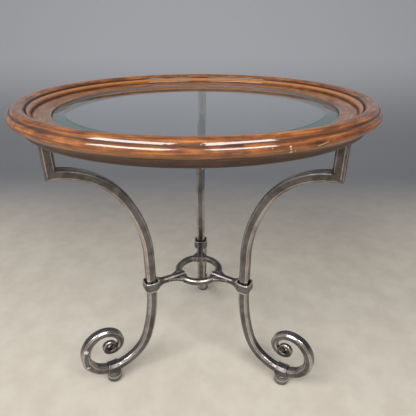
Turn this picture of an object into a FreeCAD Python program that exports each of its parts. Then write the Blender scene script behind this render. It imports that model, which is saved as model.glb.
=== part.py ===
import FreeCAD, Part
import math
import os

# Round accent table: a moulded wooden ring with a glass top, carried by three
# scrolled iron legs that a small ring and three spokes tie together.
# Millimetres, +Z up, origin on the floor under the centre, back leg towards +Y.

Vector = FreeCAD.Vector
up = Vector(0, 0, 1)
across = Vector(1, 0, 0)
origin = Vector(0, 0, 0)

full_turn = 360.0
quarter_turn = 90.0
up_heading = 90.0
inward_heading = 180.0
down_heading = 270.0

leg_sides = ("back", "left", "right")
leg_angles = {side: index * full_turn / len(leg_sides) for index, side in enumerate(leg_sides)}

# Wooden ring
ring_outer_radius = 330.0
table_height = 643.0
ring_thickness = 40.6
segment_count = 6
first_joint_angle = 42.4
bullnose_radius = 8.6
bullnose_drop = 15.4
bullnose_top_turn = 70.0
bullnose_under_turn = -72.0
bead_width = 23.0
bead_rise = 8.4
groove_width = 1.6
groove_depth = 1.1
roll_width = 7.6
roll_drop = 9.4
roll_swell = 1.3
cove_sag = 1.0
rebate_inset = 67.8
rebate_radius = ring_outer_radius - rebate_inset
rebate_edge_drop = 21.8
rebate_depth = 7.3
ledge_width = 12.0
fillet_step = 4.0
fillet_drop = 1.6
cyma_step = 8.0
cyma_drop = 8.6
cyma_sag = 1.5
base_inset = 24.5

# Loose tongues that join the ring's segments
tongue_width = 26.0
tongue_reach = 12.0
tongue_thickness = 6.0
tongue_height_over_base = 7.0
tongue_inset = 13.0
tongue_clearance = 0.2

# Glass top and the soft pads under it
glass_gap = 1.5
glass_thickness = 6.0
bevel_width = 21.0
bevel_depth = 2.4
glass_arris = 0.5
pad_count = 6
pad_radius = 4.0
pad_thickness = 1.0

# Leg bar and its path, from the riser's foot to the foot of the leg
bar_width = 20.5
bar_chamfer = 4.2
riser_inset = 47.7
riser_radius = ring_outer_radius - riser_inset
stem_radius_share = 0.4261
stem_radius = riser_radius * stem_radius_share
arm_height_share = 0.8243
arm_height = table_height * arm_height_share
arm_slope = 7.0
arm_lead = 12.0
shoulder_share = 0.92
shoulder_radius = (riser_radius - stem_radius) * shoulder_share
shoulder_turn = 51.3
calf_turn = 18.0
knee_radius = 94.0

# Scroll at the foot of the leg
foot_run_height = 36.8
scroll_radius = 56.8
crown_radius = 37.5
throat_radius = 23.3
eye_radius = 13.7
curl_radius = 11.0
tip_radius = 4.0
scroll_turns = (140.0, 116.0, 104.0, 90.0, 180.0, 150.0)
scroll_step = 30.0
thickness_shares = (1.0, 0.90, 0.84, 0.64, 0.55, 0.50, 0.46, 0.40, 0.33, 0.30)
width_shares = (1.0, 1.13, 0.96, 0.84, 0.74, 0.60, 0.48, 0.44, 0.42, 0.40)

# Plates let into the ring's underside, and their screws
plate_length = 64.0
plate_width = 30.0
plate_thickness = 4.0
plate_clearance = 0.2
screw_spacing = 46.0
screw_radius = 2.1
screw_head_radius = 4.2
screw_length = 17.0
screw_tip_length = 4.0
screw_clearance = 0.1

# Cup collars on the legs
collar_base_share = 0.3437
collar_base_height = table_height * collar_base_share
collar_height = 26.5
collar_clearance = 0.2
collar_wall = 1.5
collar_belly = 5.2
collar_rim_flare = 4.4
collar_bead_height = 3.6
collar_bead_swell = 1.0
collar_cup_depth = 10.0
collar_rim_wall = 2.0
collar_corner_share = 0.6
collar_belly_shares = (0.75, 0.13, 0.45)

# Ring stretcher and its spokes
stretcher_radius = 55.0
stretcher_bar = 13.6
stretcher_chamfer = 2.6
stretcher_rise = 14.6
stretcher_height = collar_base_height + stretcher_rise
spoke_proud = 1.2
spoke_height = stretcher_height + spoke_proud
spoke_tip = 3.8
pad_width = 32.0
pad_drop = 0.8
weld_width = 42.0
weld_reach = 25.0
weld_sag = 2.2
weld_height = 6.2
spoke_flare = 3.4
spoke_flare_length = 12.0
spoke_flare_share = 0.25
lap_clearance = 0.1

# Foot bands and bun feet
band_length = 28.0
band_wall = 2.8
band_clearance = 0.2
bun_radius = 16.6
bun_belly_height = 10.0
bun_base_radius = 9.0
bun_neck_radius = 13.0
bun_lip_shares = (0.3, 0.2)
bun_shoulder_shares = (0.25, 0.6)

# How far cutting shapes run past what they cut
overrun = 5.0
cutter_size = 60.0


def ring_profile():
    """Half section of the moulded ring, in the XZ plane."""
    base = table_height - ring_thickness
    nose_x = ring_outer_radius - bullnose_radius
    nose_z = table_height - bullnose_drop
    edge_z = table_height - rebate_edge_drop
    ledge_z = edge_z - rebate_depth

    def on_nose(turn):
        angle = math.radians(turn)
        return Vector(nose_x + bullnose_radius * math.cos(angle), 0, nose_z + bullnose_radius * math.sin(angle))

    nose_top = on_nose(bullnose_top_turn)
    nose_under = on_nose(bullnose_under_turn)
    bead_outer = Vector(nose_top.x - groove_depth, 0, table_height - bead_rise)
    bead_crest = Vector(bead_outer.x - bead_width / 2, 0, table_height)
    bead_inner = Vector(bead_outer.x - bead_width, 0, table_height - bead_rise)
    groove = Vector(bead_inner.x - groove_width / 2, 0, bead_inner.z - groove_depth)
    roll_top = Vector(bead_inner.x - groove_width, 0, bead_inner.z)
    cove_top = Vector(roll_top.x - roll_width, 0, roll_top.z - roll_drop)
    cove_foot = Vector(rebate_radius, 0, edge_z)
    roll_middle = (roll_top + cove_top) * 0.5 + Vector(-roll_swell, 0, roll_swell)
    cove_middle = (cove_top + cove_foot) * 0.5 - Vector(0, 0, cove_sag)
    ledge_outer = Vector(rebate_radius, 0, ledge_z)
    ledge_inner = Vector(rebate_radius - ledge_width, 0, ledge_z)
    base_inner = Vector(ledge_inner.x, 0, base)
    fillet = Vector(nose_under.x - fillet_step, 0, nose_under.z - fillet_drop)
    cyma = Vector(fillet.x - cyma_step, 0, fillet.z - cyma_drop)
    base_outer = Vector(ring_outer_radius - base_inset, 0, base)
    hollow_middle = (fillet + cyma) * 0.5 + Vector(-cyma_sag, 0, cyma_sag)
    round_middle = (cyma + base_outer) * 0.5 + Vector(cyma_sag, 0, -cyma_sag)

    edges = [
        Part.makeLine(base_inner, base_outer),
        Part.Arc(base_outer, round_middle, cyma).toShape(),
        Part.Arc(cyma, hollow_middle, fillet).toShape(),
        Part.makeLine(fillet, nose_under),
        Part.Arc(nose_under, on_nose(0), nose_top).toShape(),
        Part.makeLine(nose_top, bead_outer),
        Part.Arc(bead_outer, bead_crest, bead_inner).toShape(),
        Part.makeLine(bead_inner, groove),
        Part.makeLine(groove, roll_top),
        Part.Arc(roll_top, roll_middle, cove_top).toShape(),
        Part.Arc(cove_top, cove_middle, cove_foot).toShape(),
        Part.makeLine(cove_foot, ledge_outer),
        Part.makeLine(ledge_outer, ledge_inner),
        Part.makeLine(ledge_inner, base_inner),
    ]
    return Part.Face(Part.Wire(edges))


def turned(shape, angle):
    """A copy of the shape, turned about the table's axis."""
    copy = shape.copy()
    copy.rotate(origin, up, angle)
    return copy


def centred_box(length, width, height, centre):
    """A box with its middle at the given point."""
    corner = centre - Vector(length / 2, width / 2, height / 2)
    return Part.makeBox(length, width, height, corner)


def ring_base():
    return table_height - ring_thickness


def tongue(clearance):
    """A loose tongue across the joint plane that contains +X."""
    ledge_inner = rebate_radius - ledge_width
    centre = Vector(
        ledge_inner + tongue_inset + tongue_width / 2,
        0,
        ring_base() + tongue_height_over_base + tongue_thickness / 2,
    )
    play = 2 * clearance
    return centred_box(tongue_width + play, 2 * tongue_reach + play, tongue_thickness + play, centre)


def joint_angle(index):
    return first_joint_angle + index * full_turn / segment_count


def plate_blank(clearance):
    """The plate's block, let into the underside above the back leg."""
    play = 2 * clearance
    centre = Vector(0, riser_radius, ring_base() + plate_thickness / 2)
    return centred_box(plate_length + play, plate_width + play, plate_thickness, centre)


def screw_places():
    return [Vector(side * screw_spacing / 2, riser_radius, ring_base()) for side in (-1, 1)]


def screw(place, clearance):
    """A countersunk wood screw that points up from the given place."""
    head_depth = screw_head_radius - screw_radius
    shank = screw_radius + clearance
    head = screw_head_radius + clearance
    tip = screw_length + clearance
    outline = [
        Vector(0, 0, 0),
        Vector(head, 0, 0),
        Vector(shank, 0, head_depth),
        Vector(shank, 0, screw_length - screw_tip_length),
        Vector(0, 0, tip),
        Vector(0, 0, 0),
    ]
    solid = Part.Face(Part.makePolygon(outline)).revolve(origin, up, full_turn)
    solid.translate(place)
    return solid


def ring_segment(index):
    """One of the segments that the moulded ring is glued up from."""
    span = full_turn / segment_count
    segment = turned(ring_profile().revolve(origin, up, span), joint_angle(index))
    cuts = [turned(tongue(tongue_clearance), joint_angle(end)) for end in (index, index + 1)]
    for angle in leg_angles.values():
        cuts.append(turned(plate_blank(plate_clearance), angle))
        cuts += [turned(screw(place, screw_clearance), angle) for place in screw_places()]
    near = [cut for cut in cuts if cut.BoundBox.intersect(segment.BoundBox)]
    return segment.cut(near).Solids[0]


def ring_tongues():
    return Part.makeCompound([turned(tongue(0), joint_angle(index)) for index in range(segment_count)])


def glass_top():
    """Bevelled round glass that lies in the ring's rebate."""
    radius = rebate_radius - glass_gap
    underside = table_height - rebate_edge_drop - rebate_depth + pad_thickness
    top = underside + glass_thickness
    outline = [
        Vector(0, 0, underside),
        Vector(radius - glass_arris, 0, underside),
        Vector(radius, 0, underside + glass_arris),
        Vector(radius, 0, top - bevel_depth),
        Vector(radius - bevel_width, 0, top),
        Vector(0, 0, top),
        Vector(0, 0, underside),
    ]
    return Part.Face(Part.makePolygon(outline)).revolve(origin, up, full_turn)


def glass_pads():
    ledge = table_height - rebate_edge_drop - rebate_depth
    middle = rebate_radius - ledge_width / 2
    pad = Part.makeCylinder(pad_radius, pad_thickness, Vector(middle, 0, ledge))
    return Part.makeCompound([turned(pad, joint_angle(index + 0.5)) for index in range(pad_count)])


def heading_vector(heading):
    """Unit vector in the back leg's plane: 0 is outward, 90 is up."""
    angle = math.radians(heading)
    return Vector(0, math.cos(angle), math.sin(angle))


def section(point, heading, thickness, width, chamfer):
    """Chamfered square section of the bar, square to its heading."""
    normal = heading_vector(heading + quarter_turn)
    half_t = thickness / 2
    half_w = width / 2
    corners = [
        (half_t, half_w - chamfer), (half_t - chamfer, half_w),
        (chamfer - half_t, half_w), (-half_t, half_w - chamfer),
        (-half_t, chamfer - half_w), (chamfer - half_t, -half_w),
        (half_t - chamfer, -half_w), (half_t, chamfer - half_w),
    ]
    points = [point + normal * along + across * side for along, side in corners]
    return Part.makePolygon(points + points[:1])


def bar_section(point, heading, growth):
    """The bar's full section, grown all round by the given amount."""
    size = bar_width + 2 * growth
    chamfer = bar_chamfer + growth * (2 - math.sqrt(2))
    return Part.Face(section(point, heading, size, size, chamfer))


def straight(point, heading, length, growth):
    return bar_section(point, heading, growth).extrude(heading_vector(heading) * length)


def bend_centre(point, heading, radius):
    return point + heading_vector(heading + quarter_turn) * radius


def bend(point, heading, radius, turn, growth):
    centre = bend_centre(point, heading, radius)
    return bar_section(point, heading, growth).revolve(centre, across, turn)


def bend_end(point, heading, radius, turn):
    centre = bend_centre(point, heading, radius)
    return centre - heading_vector(heading + turn + quarter_turn) * radius


def block_ahead(point, heading, size):
    """A block whose back face passes through the point, square to the heading."""
    block = Part.makeBox(2 * size, size, 2 * size, Vector(-size, 0, -size))
    block.rotate(origin, across, heading)
    block.translate(point)
    return block


def corner_point():
    return Vector(0, riser_radius, arm_height)


def mitre_heading():
    return (down_heading + inward_heading + arm_slope) / 2


def riser():
    """Upright of the back leg, from the mitred corner to the plate."""
    start = corner_point() - up * bar_width
    post = straight(start, up_heading, ring_base() - start.z, 0)
    return post.cut(block_ahead(corner_point(), mitre_heading(), cutter_size))


def foot_point():
    """Where the bar is lowest, over the foot."""
    calf_run = calf_radius() * (1 - math.cos(math.radians(calf_turn)))
    knee_run = knee_radius * math.cos(math.radians(calf_turn))
    return Vector(0, stem_radius + calf_run + knee_run, foot_run_height)


def calf_radius():
    sine = math.sin(math.radians(calf_turn))
    return (collar_base_height - foot_run_height - knee_radius * (1 - sine)) / sine


def haunch_radius():
    first = math.radians(arm_slope)
    second = math.radians(arm_slope + shoulder_turn)
    run = riser_radius - stem_radius - arm_lead * math.cos(first)
    run -= shoulder_radius * (math.sin(second) - math.sin(first))
    return run / (1 - math.sin(second))


def upper_bar():
    """Arm, shoulder, haunch and stem of the back leg, down to the collar's foot."""
    heading = inward_heading + arm_slope
    inward = heading_vector(heading)
    start = corner_point() - inward * bar_width
    lead = straight(start, heading, bar_width + arm_lead, 0)
    lead = lead.cut(block_ahead(corner_point(), mitre_heading() + inward_heading, cutter_size))
    point = corner_point() + inward * arm_lead
    shoulder = bend(point, heading, shoulder_radius, shoulder_turn, 0)
    point = bend_end(point, heading, shoulder_radius, shoulder_turn)
    heading += shoulder_turn
    haunch = bend(point, heading, haunch_radius(), down_heading - heading, 0)
    point = bend_end(point, heading, haunch_radius(), down_heading - heading)
    stem = straight(point, down_heading, point.z - collar_base_height, 0)
    return [lead, shoulder, haunch, stem]


def band_turn():
    """Turn of the scroll's first bend under half a foot band."""
    return math.degrees(band_length / 2 / scroll_radius)


def lower_bar():
    """Calf and knee, down to the foot, and the bar under the foot band."""
    point = Vector(0, stem_radius, collar_base_height)
    calf = bend(point, down_heading, calf_radius(), calf_turn, 0)
    point = bend_end(point, down_heading, calf_radius(), calf_turn)
    knee = bend(point, down_heading + calf_turn, knee_radius, quarter_turn - calf_turn, 0)
    under_band = bend(foot_point(), 0, scroll_radius, band_turn(), 0)
    return [calf, knee, under_band]


def share_at(shares, heading):
    """Reads a table that has one share for each quarter turn."""
    quarter = min(heading / quarter_turn, len(shares) - 1)
    index = min(int(quarter), len(shares) - 2)
    rest = quarter - index
    return shares[index] * (1 - rest) + shares[index + 1] * rest


def scroll():
    """Tapering scroll of the back leg, rolled up into its eye."""
    radii = (scroll_radius, crown_radius, throat_radius, eye_radius, curl_radius, tip_radius)
    heading = band_turn()
    point = bend_end(foot_point(), 0, scroll_radius, heading)
    stations = [(point, heading)]
    last = 0
    for radius, bend_turn in zip(radii, scroll_turns):
        last += bend_turn
        steps = math.ceil((last - heading) / scroll_step)
        turn = (last - heading) / steps
        for step in range(steps):
            point = bend_end(point, heading, radius, turn)
            heading += turn
            stations.append((point, heading))
    wires = []
    for place, angle in stations:
        taper = angle - band_turn()
        thickness = bar_width * share_at(thickness_shares, taper)
        width = bar_width * share_at(width_shares, taper)
        chamfer = bar_chamfer * min(thickness, width) / bar_width
        wires.append(section(place, angle, thickness, width, chamfer))
    return Part.makeLoft(wires, True, False)


def leg():
    """The back leg: one bar from the mitred corner to the scroll's eye."""
    pieces = upper_bar() + lower_bar() + [scroll()]
    return pieces[0].fuse(pieces[1:]).removeSplitter()


def plate():
    """Steel plate on the riser, with countersunk holes."""
    body = plate_blank(0)
    return body.cut([screw(place, screw_clearance) for place in screw_places()])


def plate_screws():
    screws = []
    for angle in leg_angles.values():
        screws += [turned(screw(place, 0), angle) for place in screw_places()]
    return Part.makeCompound(screws)


def rounded_square(half, centre):
    """Rounded square wire in a level plane."""
    radius = half * collar_corner_share
    flat = half - radius
    slant = radius * math.sqrt(0.5)
    edges = []
    for quarter in range(4):
        side = Part.makeLine(Vector(half, -flat, 0), Vector(half, flat, 0))
        middle = Vector(flat + slant, flat + slant, 0)
        corner = Part.Arc(Vector(half, flat, 0), middle, Vector(flat, half, 0)).toShape()
        for edge in (side, corner):
            edge.rotate(origin, up, quarter_turn * quarter)
            edge.translate(centre)
            edges.append(edge)
    return Part.Wire(edges)


def cup(halves_and_heights):
    """Loft through rounded squares round the back leg's stem."""
    wires = []
    for half, height in halves_and_heights:
        centre = Vector(0, stem_radius, collar_base_height + height)
        wires.append(rounded_square(half, centre))
    return Part.makeLoft(wires, True, False)


def collar_body():
    """Outside of the cup collar: a bead below, a belly, and a flared rim."""
    neck = bar_width / 2 + collar_clearance + collar_wall
    swell = neck + collar_bead_swell
    bead = cup([(neck, 0), (swell, collar_bead_height / 2), (neck, collar_bead_height)])
    bowl = collar_height - collar_bead_height
    swelling, low_rise, high_rise = collar_belly_shares
    belly = cup([
        (neck, collar_bead_height),
        (neck + collar_belly * swelling, collar_bead_height + bowl * low_rise),
        (neck + collar_belly, collar_bead_height + bowl * high_rise),
        (neck + collar_rim_flare, collar_height),
    ])
    return bead.fuse(belly)


def collar():
    """Cup collar of the back leg, open at its top round the stem."""
    inner = bar_width / 2 + collar_clearance
    rim = inner + collar_wall + collar_rim_flare - collar_rim_wall
    floor = collar_height - collar_cup_depth
    hollow = cup([(inner, floor), (rim, collar_height), (rim, collar_height + overrun)])
    below = Vector(0, stem_radius, collar_base_height - overrun)
    bore = straight(below, up_heading, collar_height + 2 * overrun, collar_clearance)
    return collar_body().cut([hollow, bore]).removeSplitter()


def stretcher_section(centre, direction, side, growth):
    """Chamfered square section of the light bar."""
    half = stretcher_bar / 2 + growth
    flat = half - stretcher_chamfer
    corners = [(half, flat), (flat, half), (-flat, half), (-half, flat)]
    corners += [(-half, -flat), (-flat, -half), (flat, -half), (half, -flat)]
    points = [centre + side * a + up * b for a, b in corners]
    return Part.makePolygon(points + points[:1])


def stretcher_middle():
    return stretcher_radius - stretcher_bar / 2


def stretcher_inner():
    return stretcher_radius - stretcher_bar


def ring_hoop():
    centre = Vector(stretcher_middle(), 0, stretcher_height)
    return Part.Face(stretcher_section(centre, up, across, 0)).revolve(origin, up, full_turn)


def spoke_blank():
    """Spoke of the back leg before its lap is cut, flared where it meets the collar."""
    outward = Vector(0, 1, 0)
    start = Vector(0, stretcher_inner() - spoke_tip, spoke_height)
    neck = bar_width / 2 + collar_clearance + collar_wall
    root = Vector(0, stem_radius - neck - collar_belly, spoke_height)
    flare_start = root - outward * spoke_flare_length
    shank = Part.Face(stretcher_section(start, outward, across, 0)).extrude(flare_start - start)
    flare_middle = flare_start + outward * (spoke_flare_length / 2)
    wires = [
        stretcher_section(flare_start, outward, across, 0),
        stretcher_section(flare_middle, outward, across, spoke_flare * spoke_flare_share),
        stretcher_section(root, outward, across, spoke_flare),
        stretcher_section(root + outward * collar_belly, outward, across, spoke_flare),
    ]
    return shank.fuse(Part.makeLoft(wires, True, True))


def spoke():
    """Spoke of the back leg, half lapped over the ring stretcher."""
    inner = stretcher_inner() - lap_clearance
    outer = stretcher_radius + lap_clearance
    base = Vector(0, 0, stretcher_height - stretcher_bar)
    lap = Part.makeCylinder(outer, stretcher_bar, base)
    lap = lap.cut(Part.makeCylinder(inner, stretcher_bar, base))
    return spoke_blank().cut([lap, collar_body()]).removeSplitter()


def tip_pad():
    """Straight pad across the inside of the ring stretcher, round the back spoke's tip."""
    depth = spoke_tip + stretcher_bar / 2
    flat = stretcher_bar / 2 - stretcher_chamfer
    height = flat + stretcher_bar / 2 - pad_drop
    middle = stretcher_height + (height - 2 * flat) / 2
    centre = Vector(0, stretcher_inner() - spoke_tip + depth / 2, middle)
    return centred_box(pad_width, depth, height, centre)


def weld_fillet(side):
    """Hollow weld in the corner between the ring stretcher and one side of the back spoke."""
    base = stretcher_height - weld_height / 2
    far = Vector(side * weld_width / 2, math.sqrt(stretcher_radius ** 2 - (weld_width / 2) ** 2), base)
    root = Vector(side * stretcher_bar / 2, stretcher_radius + weld_reach, base)
    hollow = (far + root) * 0.5 + Vector(-side * weld_sag, -weld_sag / 2, 0)
    heart = Vector(0, stretcher_middle(), base)
    edges = [
        Part.makeLine(heart, far),
        Part.Arc(far, hollow, root).toShape(),
        Part.makeLine(root, Vector(0, root.y, base)),
        Part.makeLine(Vector(0, root.y, base), heart),
    ]
    return Part.Face(Part.Wire(edges)).extrude(up * weld_height)


def stretcher_ring():
    """Ring stretcher with its pads and welds, and a half lap for each spoke."""
    lap_width = stretcher_bar + 2 * lap_clearance
    centre = Vector(0, stretcher_middle(), stretcher_height + stretcher_bar / 2)
    lap = centred_box(lap_width, 2 * stretcher_bar, stretcher_bar, centre)
    weld = tip_pad().fuse([weld_fillet(1), weld_fillet(-1)]).cut([spoke_blank(), lap])
    hoop = ring_hoop().cut([turned(lap, angle) for angle in leg_angles.values()])
    return hoop.fuse([turned(weld, angle) for angle in leg_angles.values()]).removeSplitter()


def wrapped_run(length, growth):
    """The bar over the foot, grown all round, half on each bend."""
    before = math.degrees(length / 2 / knee_radius)
    after = math.degrees(length / 2 / scroll_radius)
    knee = bend(foot_point(), 0, knee_radius, -before, growth)
    rise = bend(foot_point(), 0, scroll_radius, after, growth)
    return knee.fuse(rise)


def foot_band():
    """Strap forged round the back leg over its foot."""
    inside = wrapped_run(band_length + 2 * overrun, band_clearance)
    return wrapped_run(band_length, band_clearance + band_wall).cut(inside).removeSplitter()


def bun_foot():
    """Turned foot under the back leg's band."""
    top = foot_run_height - bar_width / 2
    base = Vector(bun_base_radius, 0, 0)
    belly = Vector(bun_radius, 0, bun_belly_height)
    lip_inset, lip_rise = bun_lip_shares
    lip = Vector(bun_radius - (bun_radius - bun_base_radius) * lip_inset, 0, bun_belly_height * lip_rise)
    neck = Vector(bun_neck_radius, 0, 2 * bun_belly_height)
    shoulder_inset, shoulder_rise = bun_shoulder_shares
    shoulder_reach = bun_radius - (bun_radius - bun_neck_radius) * shoulder_inset
    shoulder = Vector(shoulder_reach, 0, bun_belly_height * (1 + shoulder_rise))
    edges = [
        Part.makeLine(origin, base),
        Part.Arc(base, lip, belly).toShape(),
        Part.Arc(belly, shoulder, neck).toShape(),
        Part.makeLine(neck, Vector(bun_neck_radius, 0, top)),
        Part.makeLine(Vector(bun_neck_radius, 0, top), Vector(0, 0, top)),
        Part.makeLine(Vector(0, 0, top), origin),
    ]
    bun = Part.Face(Part.Wire(edges)).revolve(origin, up, full_turn)
    bun.translate(Vector(0, foot_point().y, 0))
    return bun.cut(wrapped_run(band_length + 2 * overrun, band_clearance + band_wall))


def export(name, shape):
    shape.exportStep("parts/" + name + ".step")


def main():
    os.makedirs("parts", exist_ok=True)
    for index in range(segment_count):
        export("ring_segment_" + str(index + 1), ring_segment(index))
    export("ring_tongues", ring_tongues())
    export("glass_top", glass_top())
    export("glass_pads", glass_pads())
    export("plate_screws", plate_screws())
    export("stretcher_ring", stretcher_ring())
    makers = {
        "riser": riser,
        "leg": leg,
        "plate": plate,
        "collar": collar,
        "spoke": spoke,
        "foot_band": foot_band,
        "bun_foot": bun_foot,
    }
    for name, make in makers.items():
        shape = make()
        print(name, "solids", len(shape.Solids), "valid", shape.isValid(), "volume", round(shape.Volume, 1))
        for side, angle in leg_angles.items():
            export(name + "_" + side, turned(shape, angle))


main()
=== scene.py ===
import bpy
import math
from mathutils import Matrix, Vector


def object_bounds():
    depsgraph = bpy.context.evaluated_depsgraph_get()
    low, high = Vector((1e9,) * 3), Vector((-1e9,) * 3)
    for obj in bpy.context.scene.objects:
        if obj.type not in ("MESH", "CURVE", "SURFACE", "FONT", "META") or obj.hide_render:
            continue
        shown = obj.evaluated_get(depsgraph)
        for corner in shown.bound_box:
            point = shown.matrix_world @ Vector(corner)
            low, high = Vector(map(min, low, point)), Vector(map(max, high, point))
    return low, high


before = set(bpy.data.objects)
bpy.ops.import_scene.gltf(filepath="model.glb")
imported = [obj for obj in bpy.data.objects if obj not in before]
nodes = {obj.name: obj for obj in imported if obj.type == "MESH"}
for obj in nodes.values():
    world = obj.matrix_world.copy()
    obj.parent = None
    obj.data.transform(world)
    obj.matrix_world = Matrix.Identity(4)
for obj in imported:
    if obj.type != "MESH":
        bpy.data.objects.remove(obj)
cad_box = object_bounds()

# Wooden ring
# Six segments of a close grained hardwood, glued end to end over loose tongues
# and moulded on a shaper. The figure runs straight along each segment, and the
# stain was wiped on round the ring, with a dark glaze and a glossy varnish. The
# dark in the hollows is partly glaze and partly painted shade, the dark under the
# moulding is painted shade, and lighter bands on the roll and under the nose are
# painted light.


class Shade:
    """A shader socket whose arithmetic adds Math nodes."""

    def __init__(self, socket):
        self.socket = socket

    def node(self, kind, settings, inputs, output=0):
        """Adds any other node: its settings first, then the values or links of its sockets."""
        tree = self.socket.id_data
        node = tree.nodes.new("ShaderNode" + kind)
        for name, value in settings.items():
            setattr(node, name, value)
        for name, value in inputs.items():
            fill(node.inputs[name], value)
        return Shade(node.outputs[output])

    def __add__(self, other):
        return self.node("Math", {"operation": "ADD"}, {0: self, 1: other})

    def __sub__(self, other):
        return self.node("Math", {"operation": "SUBTRACT"}, {0: self, 1: other})

    def __rsub__(self, other):
        return self.node("Math", {"operation": "SUBTRACT"}, {0: other, 1: self})

    def __mul__(self, other):
        return self.node("Math", {"operation": "MULTIPLY"}, {0: self, 1: other})

    def __truediv__(self, other):
        return self.node("Math", {"operation": "DIVIDE"}, {0: self, 1: other})

    def __rtruediv__(self, other):
        return self.node("Math", {"operation": "DIVIDE"}, {0: other, 1: self})

    def __abs__(self):
        return self.node("Math", {"operation": "ABSOLUTE"}, {0: self})

    __radd__ = __add__
    __rmul__ = __mul__


def fill(socket, value):
    """Links a shade to a socket, or sets the socket's own value or colour."""
    if isinstance(value, Shade):
        socket.id_data.links.new(value.socket, socket)
    elif socket.type == "RGBA":
        socket.default_value = (*value, 1.0)
    else:
        socket.default_value = value


def new_finish(name):
    """A new material, its Principled shader and its Object coordinates."""
    material = bpy.data.materials.new(name)
    material.use_nodes = True
    nodes_of = material.node_tree.nodes
    place = nodes_of.new("ShaderNodeTexCoord").outputs["Object"]
    return material, nodes_of["Principled BSDF"], Shade(place)


def feed(shader, **values):
    """Fills the shader's sockets, named with underscores for spaces."""
    for name, value in values.items():
        fill(shader.inputs[name.replace("_", " ")], value)


def blend(share, first, second):
    """Mixes two colours."""
    return share.node("Mix", {"data_type": "RGBA"}, {0: share, 6: first, 7: second}, 2)


def rise(value, low, high):
    """Rises smoothly from 0 at low to 1 at high."""
    ends = {"Value": value, "From Min": low, "From Max": high}
    return value.node("MapRange", {"interpolation_type": "SMOOTHSTEP"}, ends)


def fall(value, low, high):
    """Falls smoothly from 1 at low to 0 at high."""
    return 1.0 - rise(value, low, high)


def largest(first, *others):
    for other in others:
        first = first.node("Math", {"operation": "MAXIMUM"}, {0: first, 1: other})
    return first


def dot(first, second):
    return first.node("VectorMath", {"operation": "DOT_PRODUCT"}, {0: first, 1: second}, "Value")


def far_from(place, point):
    return place.node("VectorMath", {"operation": "DISTANCE"}, {0: place, 1: point}, "Value")


def far_from_line(place, start, end):
    """Distance from the straight line between two points."""
    run = [last - first for first, last in zip(start, end)]
    run_square = sum(size * size for size in run)
    start_share = sum(size * first for size, first in zip(run, start)) / run_square
    share = dot(place, run) / run_square - start_share
    share = share.node("Clamp", {}, {"Value": share})
    along = share.node("VectorMath", {"operation": "SCALE"}, {0: run, "Scale": share})
    return far_from(place.node("VectorMath", {"operation": "SUBTRACT"}, {0: place, 1: along}), start)


def reach_of(place):
    """Distance from the table's upright axis."""
    level = place.node("VectorMath", {"operation": "MULTIPLY"}, {0: place, 1: (1, 1, 0)})
    return far_from(level, (0, 0, 0))


def noise(place, scale=1.0, detail=3.0, roughness=0.5, stretch=(1, 1, 1), shift=(0, 0, 0)):
    """Cloudy noise, from 0 to 1. The scale is how often it repeats in a metre."""
    spread = place.node("Mapping", {}, {"Vector": place, "Location": shift, "Scale": stretch})
    inputs = {"Vector": spread, "Scale": scale, "Detail": detail, "Roughness": roughness}
    return spread.node("TexNoise", {}, inputs)


def dress(node, material):
    """Gives a CAD node its material."""
    mesh = nodes[node].data
    for index in range(len(mesh.materials)):
        mesh.materials[index] = material


segment_count = 6
joint_bearing = math.radians(42.4)
# The moulding's marks, from the outside in and from the top down.
ring_reach = (cad_box[1][0] - cad_box[0][0]) / 2
ring_height = cad_box[1][2]
valley_reach = ring_reach - 0.0066
nose_radius = 0.0086
nose_reach = ring_reach - nose_radius
groove_reach = ring_reach - 0.0300
cove_reach = ring_reach - 0.0390
rebate_reach = ring_reach - 0.0670
nose_height = ring_height - 0.0154
quirk_height = ring_height - 0.0248
base_height = ring_height - 0.0406
# How far from a hollow's middle, or from a seam between two segments, the glaze
# and the painted shade start to thin, and how far they go.
valley_spread = (0.0003, 0.0026)
groove_spread = (0.0010, 0.0026)
cove_spread = (0.0004, 0.0030)
quirk_spread = (0.0004, 0.0015)
seam_spread = (0.0001, 0.0007)
# How strong the glaze and painted shade are there, and the painted shade on the
# moulding's low parts.
valley_glaze_and_shade = 0.85
groove_glaze_and_shade = 0.92
cove_glaze_and_shade = 0.55
quirk_painted_shade = 0.95
foot_painted_shade = 0.97
underside_painted_shade = 0.72
seam_glaze = 0.45
# Between which two heights or reaches a part of the moulding fades in or out.
top_fade = (nose_height, nose_height + 0.0040)
underside_fade = (quirk_height - 0.0024, quirk_height + 0.0004)
foot_fade = (base_height + 0.0030, base_height + 0.0130)
under_nose_reaches = (nose_reach - 0.0120, nose_reach - 0.0040)
under_nose_heights = (nose_height - 0.0060, nose_height + 0.0010)
roll_inner = (cove_reach, cove_reach + 0.0030)
roll_outer = (groove_reach - 0.0030, groove_reach)
cove_fade = (cove_reach - 0.0040, cove_reach)
rebate_fade = (rebate_reach, rebate_reach + 0.0012)
# How often the grain repeats in a metre along a segment, across it and upwards.
figure_grain = (24, 95, 95)
streak_grain = (12, 340, 340)
pore_grain = (45, 1100, 1100)
ripple_grain = (16, 70, 70)
# Where the grain is read, and how far on for each next segment.
grain_start = (0.0, 0.0, 0.7)
grain_step = (1.7, 0.9, 0.4)
figure_share = 0.42
middle_tones = (0.35, 0.54)
light_tones = (0.48, 0.68)
pore_tones = (0.55, 0.68)
pore_darkness = 0.42
# The roll and the band under the nose are lightened as painted light.
roll_painted_light = 0.80
under_nose_painted_light = 0.22
# The inside of the cove is greyed and darkened as painted shade.
inside_painted_shade = 0.28
# How much varnish is missing under the nose, inside the cove, and where the
# glaze and painted shade lie thickest.
under_nose_loss = 0.35
inside_loss = 0.28
glaze_and_shade_loss = 0.70
stain_dark = (0.062, 0.019, 0.008)
stain_middle = (0.220, 0.066, 0.016)
stain_light = (0.470, 0.175, 0.031)
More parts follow.
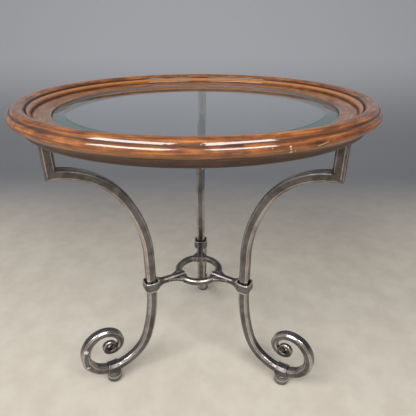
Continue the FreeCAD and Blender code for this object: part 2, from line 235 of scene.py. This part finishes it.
# The colour of the glaze, the painted shade and the dark seams.
glaze_and_shade_colour = (0.040, 0.023, 0.015)
rebate_dull = (0.170, 0.148, 0.135)
# The grey of the painted shade inside the cove.
cove_shade_grey = (0.270, 0.200, 0.160)
bare_wood = (0.62, 0.50, 0.36)
# One front segment has chips and a scratch. Each chip has its bearing and its
# height, and the two ends of how far it spreads.
chipped_segment = 5
chips = (
    (288.3, 0.6298, 0.0003, 0.0010),
    (292.4, 0.6296, 0.0008, 0.0018),
    (292.6, 0.6266, 0.0006, 0.0014),
    (292.8, 0.6222, 0.0014, 0.0026),
    (293.7, 0.6235, 0.0005, 0.0011),
)
chip_raggedness = 0.0040
scratch_start = (299.7, 0.6256)
scratch_end = (302.5, 0.6286)
scratch_raggedness = 0.0012
scratch_spread = (0.0002, 0.0006)
ripple_depth = 0.0012


def on_nose(bearing, height):
    """A point on the outer nose of the moulding."""
    out = nose_reach + math.sqrt(nose_radius**2 - (height - nose_height) ** 2)
    return (out * math.cos(math.radians(bearing)), out * math.sin(math.radians(bearing)), height)


def knocked(place, colour, varnish):
    """Adds the chips, which break the varnish too, and the scratch."""
    ragged = noise(place, 700.0, roughness=0.7) - 0.5
    for bearing, height, inner, outer in chips:
        sound = rise(far_from(place, on_nose(bearing, height)) + ragged * chip_raggedness, inner, outer)
        colour = blend(sound, bare_wood, colour)
        varnish = sound * varnish
    scratch = far_from_line(place, on_nose(*scratch_start), on_nose(*scratch_end))
    unscratched = rise(scratch + ragged * scratch_raggedness, *scratch_spread)
    return blend(unscratched, bare_wood, colour), varnish


def varnished_wood(number):
    """The wood of one segment, with its grain along the segment's middle."""
    material, shader, place = new_finish("varnished_wood_" + str(number))
    index = number - 1
    start = joint_bearing + index * math.tau / segment_count
    end = start + math.tau / segment_count
    turn = math.pi / 2 - (start + end) / 2
    shift = [first + index * step for first, step in zip(grain_start, grain_step)]
    reach = reach_of(place)
    height = dot(place, (0, 0, 1))
    along = place.node("Mapping", {}, {"Vector": place, "Rotation": (0, 0, turn)})
    sideways = dot(along, (1, 0, 0))
    outwards = dot(along, (0, 1, 0))
    swing = sideways.node("Math", {"operation": "ARCTAN2"}, {0: sideways, 1: outwards})
    round_ring = place.node("CombineXYZ", {}, {"X": swing * ring_reach, "Y": reach, "Z": height})

    figure = noise(along, roughness=0.55, stretch=figure_grain, shift=shift)
    streak = noise(round_ring, detail=4.0, roughness=0.66, stretch=streak_grain, shift=shift)
    pore = noise(along, detail=2.0, roughness=0.6, stretch=pore_grain, shift=shift)
    tone = figure * figure_share + streak * (1.0 - figure_share)
    roll = rise(reach, *roll_inner) * fall(reach, *roll_outer)
    under_nose = rise(reach, *under_nose_reaches) * fall(height, *under_nose_heights)
    stain = blend(rise(tone, *middle_tones), stain_dark, stain_middle)
    # Painted light lightens the stain on the roll.
    stain = blend(largest(rise(tone, *light_tones), roll * roll_painted_light), stain, stain_light)
    stain = blend(rise(pore, *pore_tones) * pore_darkness, stain, stain_dark)
    # Painted light lightens the stain under the nose.
    stain = blend(under_nose * under_nose_painted_light, stain, stain_light)

    # Painted shade, partly a dark glaze, darkens the hollows, and painted shade darkens the quirk, the
    # underside and the foot.
    valley = fall(abs(reach - valley_reach), *valley_spread) * rise(height, *top_fade)
    groove = fall(abs(reach - groove_reach), *groove_spread)
    cove = fall(abs(reach - cove_reach), *cove_spread)
    quirk = fall(abs(height - quirk_height), *quirk_spread)
    foot = fall(height, *foot_fade)
    underside = fall(height, *underside_fade)
    low_painted_shade = largest(underside * underside_painted_shade, quirk * quirk_painted_shade, foot * foot_painted_shade)
    glaze_and_shade = largest(low_painted_shade, valley * valley_glaze_and_shade, groove * groove_glaze_and_shade, cove * cove_glaze_and_shade)
    colour = blend(glaze_and_shade, stain, glaze_and_shade_colour)
    # Painted shade greys and darkens the inside of the cove.
    inside = fall(reach, *cove_fade)
    colour = blend(inside * inside_painted_shade, colour, cove_shade_grey)
    colour = blend(fall(reach, *rebate_fade), colour, rebate_dull)
    for bearing in (start, end):
        across_seam = dot(place, (math.sin(bearing), -math.cos(bearing), 0))
        colour = blend(fall(abs(across_seam), *seam_spread) * seam_glaze, colour, glaze_and_shade_colour)

    thick_glaze_and_shade = largest(low_painted_shade, cove, groove) * glaze_and_shade_loss
    varnish = 1.0 - largest(thick_glaze_and_shade, under_nose * under_nose_loss, inside * inside_loss)
    if number == chipped_segment:
        colour, varnish = knocked(place, colour, varnish)
    ripple = noise(along, detail=2.0, stretch=ripple_grain, shift=shift) + pore * 0.05
    bump = ripple.node("Bump", {}, {"Strength": 0.3, "Distance": ripple_depth, "Height": ripple})
    feed(shader, Base_Color=colour, Roughness=0.45, Specular_IOR_Level=0.12, Normal=bump)
    feed(shader, Coat_Weight=varnish, Coat_Roughness=0.06, Coat_IOR=1.7)
    return material


for number in range(1, segment_count + 1):
    dress("ring_segment_" + str(number), varnished_wood(number))

# Loose tongues
# Unfinished strips of the same hardwood, glued into slots across each joint
# before the ring is moulded. They are hidden in the finished table.

tongue_dark = (0.42, 0.28, 0.15)
tongue_light = (0.55, 0.40, 0.24)

tongue_wood, shader, place = new_finish("tongue_wood")
grain = noise(place, 60.0, stretch=(1, 1, 7))
feed(shader, Base_Color=blend(rise(grain, 0.35, 0.65), tongue_dark, tongue_light), Roughness=0.7)
dress("ring_tongues", tongue_wood)

# Glass top
# A round of clear float glass, 6 mm thick, with a wide ground and polished
# bevel that looks sea green. The bevel carries a share of dark sea green as
# painted shade, and its grey where it is seen nearly edge on is a painted
# reflection. It lies loose in the ring's rebate.

bevel_reach = 0.2397
bevel_fade = (bevel_reach - 0.0004, bevel_reach + 0.0004)
edge_on = (0.68, 0.84)
glass_clear = (0.93, 0.965, 0.975)
bevel_green = (0.50, 0.76, 0.74)
bevel_reflected_grey = (0.80, 0.84, 0.83)
cast_shaded_green = (0.15, 0.28, 0.28)
cast_reflected_grey = (0.24, 0.235, 0.225)
cast_share = 0.36

glass, shader, place = new_finish("bevelled_glass")
bevel = rise(reach_of(place), *bevel_fade)
# Painted reflection: the bevel turns grey where it is seen nearly edge on.
turned = rise(place.node("LayerWeight", {}, {"Blend": 0.5}, "Facing"), *edge_on)
feed(shader, Base_Color=blend(bevel, glass_clear, blend(turned, bevel_green, bevel_reflected_grey)))
feed(shader, Roughness=0.0, Transmission_Weight=1.0, IOR=1.5)
# The cast is an opaque share on the bevel: the glass's green darkened as painted shade, and grey edge on
# as a painted reflection.
cast_colour = blend(turned, cast_shaded_green, cast_reflected_grey)
cast = place.node("BsdfPrincipled", {}, {"Base Color": cast_colour, "Roughness": 0.12})
mixed = place.node("MixShader", {}, {0: bevel * cast_share, 1: Shade(shader.outputs[0]), 2: cast})
fill(glass.node_tree.nodes["Material Output"].inputs["Surface"], mixed)
dress("glass_top", glass)

# Glass pads
# Small clear discs of soft plastic, stuck on the rebate's ledge, that keep the
# glass from rattling.

pad_dark = (0.72, 0.73, 0.71)
pad_light = (0.80, 0.80, 0.78)

pad, shader, place = new_finish("soft_pad")
cloud = noise(place, 300.0)
feed(shader, Base_Color=blend(rise(cloud, 0.3, 0.7), pad_dark, pad_light), Roughness=0.5)
dress("glass_pads", pad)

# Wrought iron base
# Chamfered square bar, bent hot, with forged scrolls, welded joints, straps,
# cup collars and turned feet. A dark bronze lacquer is rubbed through to a
# warm grey along the edges and chamfers, and is greyer and glossier low down.
# The scrolls' eyes are darkened as painted shade, and bands on the collars and
# feet are lightened as painted highlights, the collars' bands partly rubbed.

iron_dark = (0.059, 0.053, 0.050)
iron_light = (0.174, 0.156, 0.150)
iron_grey = (0.182, 0.187, 0.195)
iron_tan = (0.42, 0.340, 0.296)
iron_steel = (0.62, 0.545, 0.490)
# The pale grey of rubbed edges, used too for painted highlights.
iron_rubbed_and_highlit = (0.92, 0.83, 0.75)
iron_bright = (0.90, 0.93, 0.97)
# How often the lacquer's patches, its grit and the bar's dents repeat in a metre.
patch_grain = 30.0
grit_grain = 380.0
dent_grain = 70.0
dent_depth = 0.0010
dent_strength = (0.12, 0.20)
# Each wear goes from its least to its most between two tones of the patches.
edge_tones = (0.45, 0.85)
edge_rub = (0.40, 0.90)
lacquer_tones = (0.38, 0.62)
lacquer_lightness = (0.12, 0.88)
grey_tones = (0.35, 0.65)
grey_rub = (0.20, 0.80)
chamfer_tones = (0.40, 0.65)
chamfer_rub = (0.12, 0.47)
# The iron is greyer, its chamfers paler and its lacquer glossier below the first
# height, and unchanged above the second. The light bar of the small ring changes
# less.
lower_heights = (0.40, 0.56)
polish_rub = 0.25
polish_gloss = 0.10
light_polish = 0.35
lacquer_roughness = 0.31
grit_roughness = 0.04
# The rubbed edge is a share as wide as the bar's rounding, and shows where the
# rounding leans away from the flats.
bar_rounding = 0.0026
light_rounding = 0.0018
edge_share = 0.75
edge_lean = (0.006, 0.050)
# The weld between each leg and its riser is ground flush and lacquered over.
riser_reach = 0.2823
riser_foot = 0.5300
mitre_turn = math.radians(48.5)
mitre_fade = (0.0022, 0.0036)
# The middle of each scroll's eye, where the lacquer isn't rubbed and is darkened
# as painted shade.
eye_reach = 0.2290
eye_height = 0.0955
eye_fade = (0.0140, 0.0210)
eye_shade_and_rub = (0.12, 1.00)
# How squarely a chamfer faces across the bar. It counts fully between the two
# middle values, and flatter or squarer surfaces count less and less.
chamfer_start = (0.35, 0.50)
chamfer_end = (0.82, 0.95)
# Where the lacquer has flaked off one scroll, and the two ends of how far each
# flake spreads.
leg_flakes = {
    "left": (
        ((-0.2394, -0.1501, 0.1195), 0.0036, 0.0054),
        ((-0.2408, -0.1509, 0.0733), 0.0026, 0.0036),
    ),
}
flake_raggedness = 0.012
rim_fade = 0.0006


def between(share, least, most):
    """Turns a share from 0 to 1 into one from least to most."""
    return least + share * (most - least)


def clear_of_shaded_eye(place, across_bar):
    """Falls nearly to 0 in the eye of a bar's scroll, where the lacquer is darkened as painted shade."""
    eye = (-eye_reach * across_bar[1], eye_reach * across_bar[0], eye_height)
    return between(rise(far_from(place, eye), *eye_fade), *eye_shade_and_rub)


def clear_of_mitre(place, across_bar):
    """Falls to 0 on the weld between a leg and its riser."""
    level = math.cos(mitre_turn)
    climb = math.sin(mitre_turn)
    past_mitre = dot(place, (-across_bar[1] * level, across_bar[0] * level, climb))
    return rise(abs(past_mitre - (riser_reach * level + riser_foot * climb)), *mitre_fade)


def lacquered_iron(name, across_bar, rounding, polish=1.0, rubbed_and_highlit_heights=(), flakes=()):
    """Lacquered iron, rubbed along its edges, with rubbing and painted highlights at the heights that are
    given.

    Where the direction across a bar is given, the bar's chamfers are rubbed too.
    """
    material, shader, place = new_finish(name)
    height = dot(place, (0, 0, 1))
    normal = place.node("NewGeometry", {}, {}, "True Normal")
    rounded = place.node("Bevel", {"samples": 6}, {"Radius": rounding})
    leaning = 1.0 - dot(normal, place.node("Bevel", {"samples": 6}, {"Radius": rounding * edge_share}))
    patch = noise(place, patch_grain, detail=4.0, roughness=0.6)
    grit = noise(place, grit_grain, roughness=0.6)
    lower_share = fall(height, *lower_heights) * polish

    bare_and_highlit = between(rise(patch + grit * 0.4 * polish, *edge_tones), *edge_rub) * rise(leaning, *edge_lean)
    lightness = between(rise(patch * 0.7 + grit * 0.3, *lacquer_tones), *lacquer_lightness)
    lacquer = blend(lightness, iron_dark, iron_light)
    lacquer = blend(lower_share * between(rise(patch, *grey_tones), *grey_rub), lacquer, iron_grey)
    if across_bar:
        past_eye_shade = clear_of_shaded_eye(place, across_bar)
        # Painted shade: the lacquer darkens to its darkest in each scroll's eye.
        lacquer = blend(past_eye_shade, iron_dark, lacquer)
        lower_share = lower_share * past_eye_shade
        facing = abs(dot(normal, across_bar))
        chamfer = rise(facing, *chamfer_start) * fall(facing, *chamfer_end)
        rub = between(rise(patch, *chamfer_tones), *chamfer_rub) + lower_share * polish_rub
        lacquer = blend(chamfer * past_eye_shade * rub, lacquer, blend(lower_share, iron_tan, iron_steel))
        past_mitre = clear_of_mitre(place, across_bar)
        bare_and_highlit = bare_and_highlit * past_mitre * past_eye_shade
        smooth = place.node("NewGeometry", {}, {}, "Normal")
        rounded = place.node("Mix", {"data_type": "VECTOR"}, {0: past_mitre, 4: smooth, 5: rounded}, 1)
    # Painted highlights, partly rubbing, lighten the bands at the given heights.
    for low, high, share in rubbed_and_highlit_heights:
        rim = rise(height, low - rim_fade, low + rim_fade) * fall(height, high - rim_fade, high + rim_fade)
        bare_and_highlit = largest(bare_and_highlit, rim * share)
    colour = blend(bare_and_highlit, lacquer, iron_rubbed_and_highlit)
    for point, inner, outer in flakes:
        ragged = (noise(place, 300.0, roughness=0.7) - 0.5) * flake_raggedness
        colour = blend(rise(far_from(place, point) + ragged, inner, outer), iron_bright, colour)

    dent = noise(place, dent_grain, detail=2.0)
    strength = between(polish, *dent_strength)
    dents = {"Strength": strength, "Distance": dent_depth, "Height": dent, "Normal": rounded}
    sheen = lacquer_roughness - lower_share * polish_gloss + grit * grit_roughness
    feed(shader, Base_Color=colour, Metallic=0.88, Roughness=sheen, Normal=dent.node("Bump", {}, dents))
    return material


sides = ("back", "left", "right")
for index, side in enumerate(sides):
    bearing = index * math.tau / len(sides)
    across_bar = (math.cos(bearing), math.sin(bearing), 0.0)
    flakes = leg_flakes.get(side, ())
    bar_iron = lacquered_iron("bar_iron_" + side, across_bar, bar_rounding, flakes=flakes)
    for piece in ("riser_", "leg_", "plate_"):
        dress(piece + side, bar_iron)
    spoke_iron = lacquered_iron("spoke_iron_" + side, across_bar, light_rounding, light_polish)
    dress("spoke_" + side, spoke_iron)
ring_iron = lacquered_iron("ring_iron", (0.0, 0.0, 1.0), light_rounding, light_polish)
dress("stretcher_ring", ring_iron)

# The collars' rims are rubbed and lightened as painted highlights, and a band on
# each foot's shoulder is a painted highlight, each between two heights, by a share.
collar_base = 0.2210
collar_top = 0.2475
collar_rims = (
    (collar_base, collar_base + 0.0040, 0.70),
    (collar_top - 0.0017, collar_top + 0.0017, 0.70),
)
foot_highlight_band = ((0.0135, 0.0180, 0.35),)
collar_iron = lacquered_iron("collar_iron", None, light_rounding, rubbed_and_highlit_heights=collar_rims)
band_iron = lacquered_iron("band_iron", None, light_rounding, light_polish)
foot_iron = lacquered_iron("foot_iron", None, light_rounding, rubbed_and_highlit_heights=foot_highlight_band)
for side in sides:
    dress("collar_" + side, collar_iron)
    dress("foot_band_" + side, band_iron)
    dress("bun_foot_" + side, foot_iron)

# Screws
# Zinc plated countersunk wood screws, driven up through the plates, that hold
# the ring on the iron base.

zinc_dark = (0.34, 0.33, 0.31)
zinc_light = (0.50, 0.49, 0.46)

screw_steel, shader, place = new_finish("screw_steel")
dull = noise(place, 500.0)
feed(shader, Base_Color=blend(rise(dull, 0.3, 0.7), zinc_dark, zinc_light), Metallic=1.0, Roughness=0.4)
dress("plate_screws", screw_steel)

# Floor and backdrop
# A pale floor that sweeps up, far behind the table, into a plain grey wall.
# Both are one sheet, and only a stage for the table.

floor_width = 9.0
floor_front = -4.8
sweep_start = 1.2
sweep_radius = 1.2
sweep_steps = 24
wall_height = 4.0
stone_dark = (0.530, 0.475, 0.395)
stone_light = (0.595, 0.540, 0.458)
wall_dark = (0.200, 0.203, 0.216)
wall_light = (0.400, 0.413, 0.437)
wall_heights = (0.05, 0.60)
wall_depths = (0.3, 1.3)

bpy.ops.object.select_all(action="DESELECT")
bpy.ops.mesh.primitive_plane_add(size=1)
floor = bpy.context.object
floor.name = "floor"
floor.dimensions = (floor_width, sweep_start - floor_front, 0)
floor.location.y = (sweep_start + floor_front) / 2
bpy.ops.object.transform_apply(location=True, rotation=False, scale=True)
bpy.ops.object.mode_set(mode="EDIT")
bpy.ops.mesh.select_all(action="DESELECT")
bpy.ops.object.mode_set(mode="OBJECT")
for corner in floor.data.vertices:
    corner.select = corner.co.y > 0
for line in floor.data.edges:
    line.select = all(floor.data.vertices[index].select for index in line.vertices)
bpy.ops.object.mode_set(mode="EDIT")
sweep_middle = (0, sweep_start, sweep_radius)
bpy.ops.mesh.spin(steps=sweep_steps, angle=-math.pi / 2, center=sweep_middle, axis=(1, 0, 0))
bpy.ops.mesh.extrude_region_move(TRANSFORM_OT_translate={"value": (0, 0, wall_height)})
bpy.ops.object.mode_set(mode="OBJECT")
bpy.ops.object.shade_smooth()

pale_floor, shader, place = new_finish("pale_floor")
speck = noise(place, 14.0, detail=4.0, roughness=0.6)
stone = blend(rise(speck, 0.3, 0.7), stone_dark, stone_light)
wall = blend(rise(dot(place, (0, 0, 1)), *wall_heights), wall_dark, wall_light)
feed(shader, Base_Color=blend(rise(dot(place, (0, 1, 0)), *wall_depths), stone, wall), Roughness=0.8)
floor.data.materials.append(pale_floor)

# Light
# Two wide soft boxes above and in front of the table, left and right, and the
# even grey of a room that is lighter in front than behind.

lamp_target = (0, 0, 0.5)
# Each soft box's name, place, width, height and power.
soft_boxes = (
    ("front_left", (-1.20, -1.45, 2.30), 1.9, 0.90, 56),
    ("front_right", (1.00, -1.65, 2.30), 1.5, 0.85, 42),
)
room_front = (-0.45, -0.83, 0.33)
room_behind = (0.14, 0.145, 0.155)
room_ahead = (0.46, 0.46, 0.47)
room_fade = (-0.2, 0.9)

for name, spot, width, height, power in soft_boxes:
    bpy.ops.object.light_add(type="AREA", location=spot)
    lamp = bpy.context.object
    lamp.name = name
    lamp.data.shape = "RECTANGLE"
    lamp.data.size = width
    lamp.data.size_y = height
    lamp.data.energy = power
    away = [here - there for here, there in zip(spot, lamp_target)]
    tilt = math.atan2(math.hypot(away[0], away[1]), away[2])
    lamp.rotation_euler = (tilt, 0, math.atan2(away[0], -away[1]))

world = bpy.data.worlds.new("grey_room")
world.use_nodes = True
heading = Shade(world.node_tree.nodes.new("ShaderNodeTexCoord").outputs["Generated"])
ahead = rise(dot(heading, room_front), *room_fade)
feed(world.node_tree.nodes["Background"], Color=blend(ahead, room_behind, room_ahead), Strength=1.0)
bpy.context.scene.world = world

# Camera
# Just above the ring and close in front of it, a little right of the middle,
# looking down.

photo_width = 416
focal_pixels = 368.656
sensor_width = 36.0
look_down = 0.456
look_left = 0.023

bpy.ops.object.camera_add(location=(0.0386, -0.7254, 0.7551))
camera = bpy.context.object
camera.rotation_euler = (math.pi / 2 - look_down, 0.0, look_left)
camera.data.sensor_width = sensor_width
camera.data.lens = focal_pixels / photo_width * sensor_width
bpy.context.scene.camera = camera
bpy.context.scene.view_settings.view_transform = "Standard"
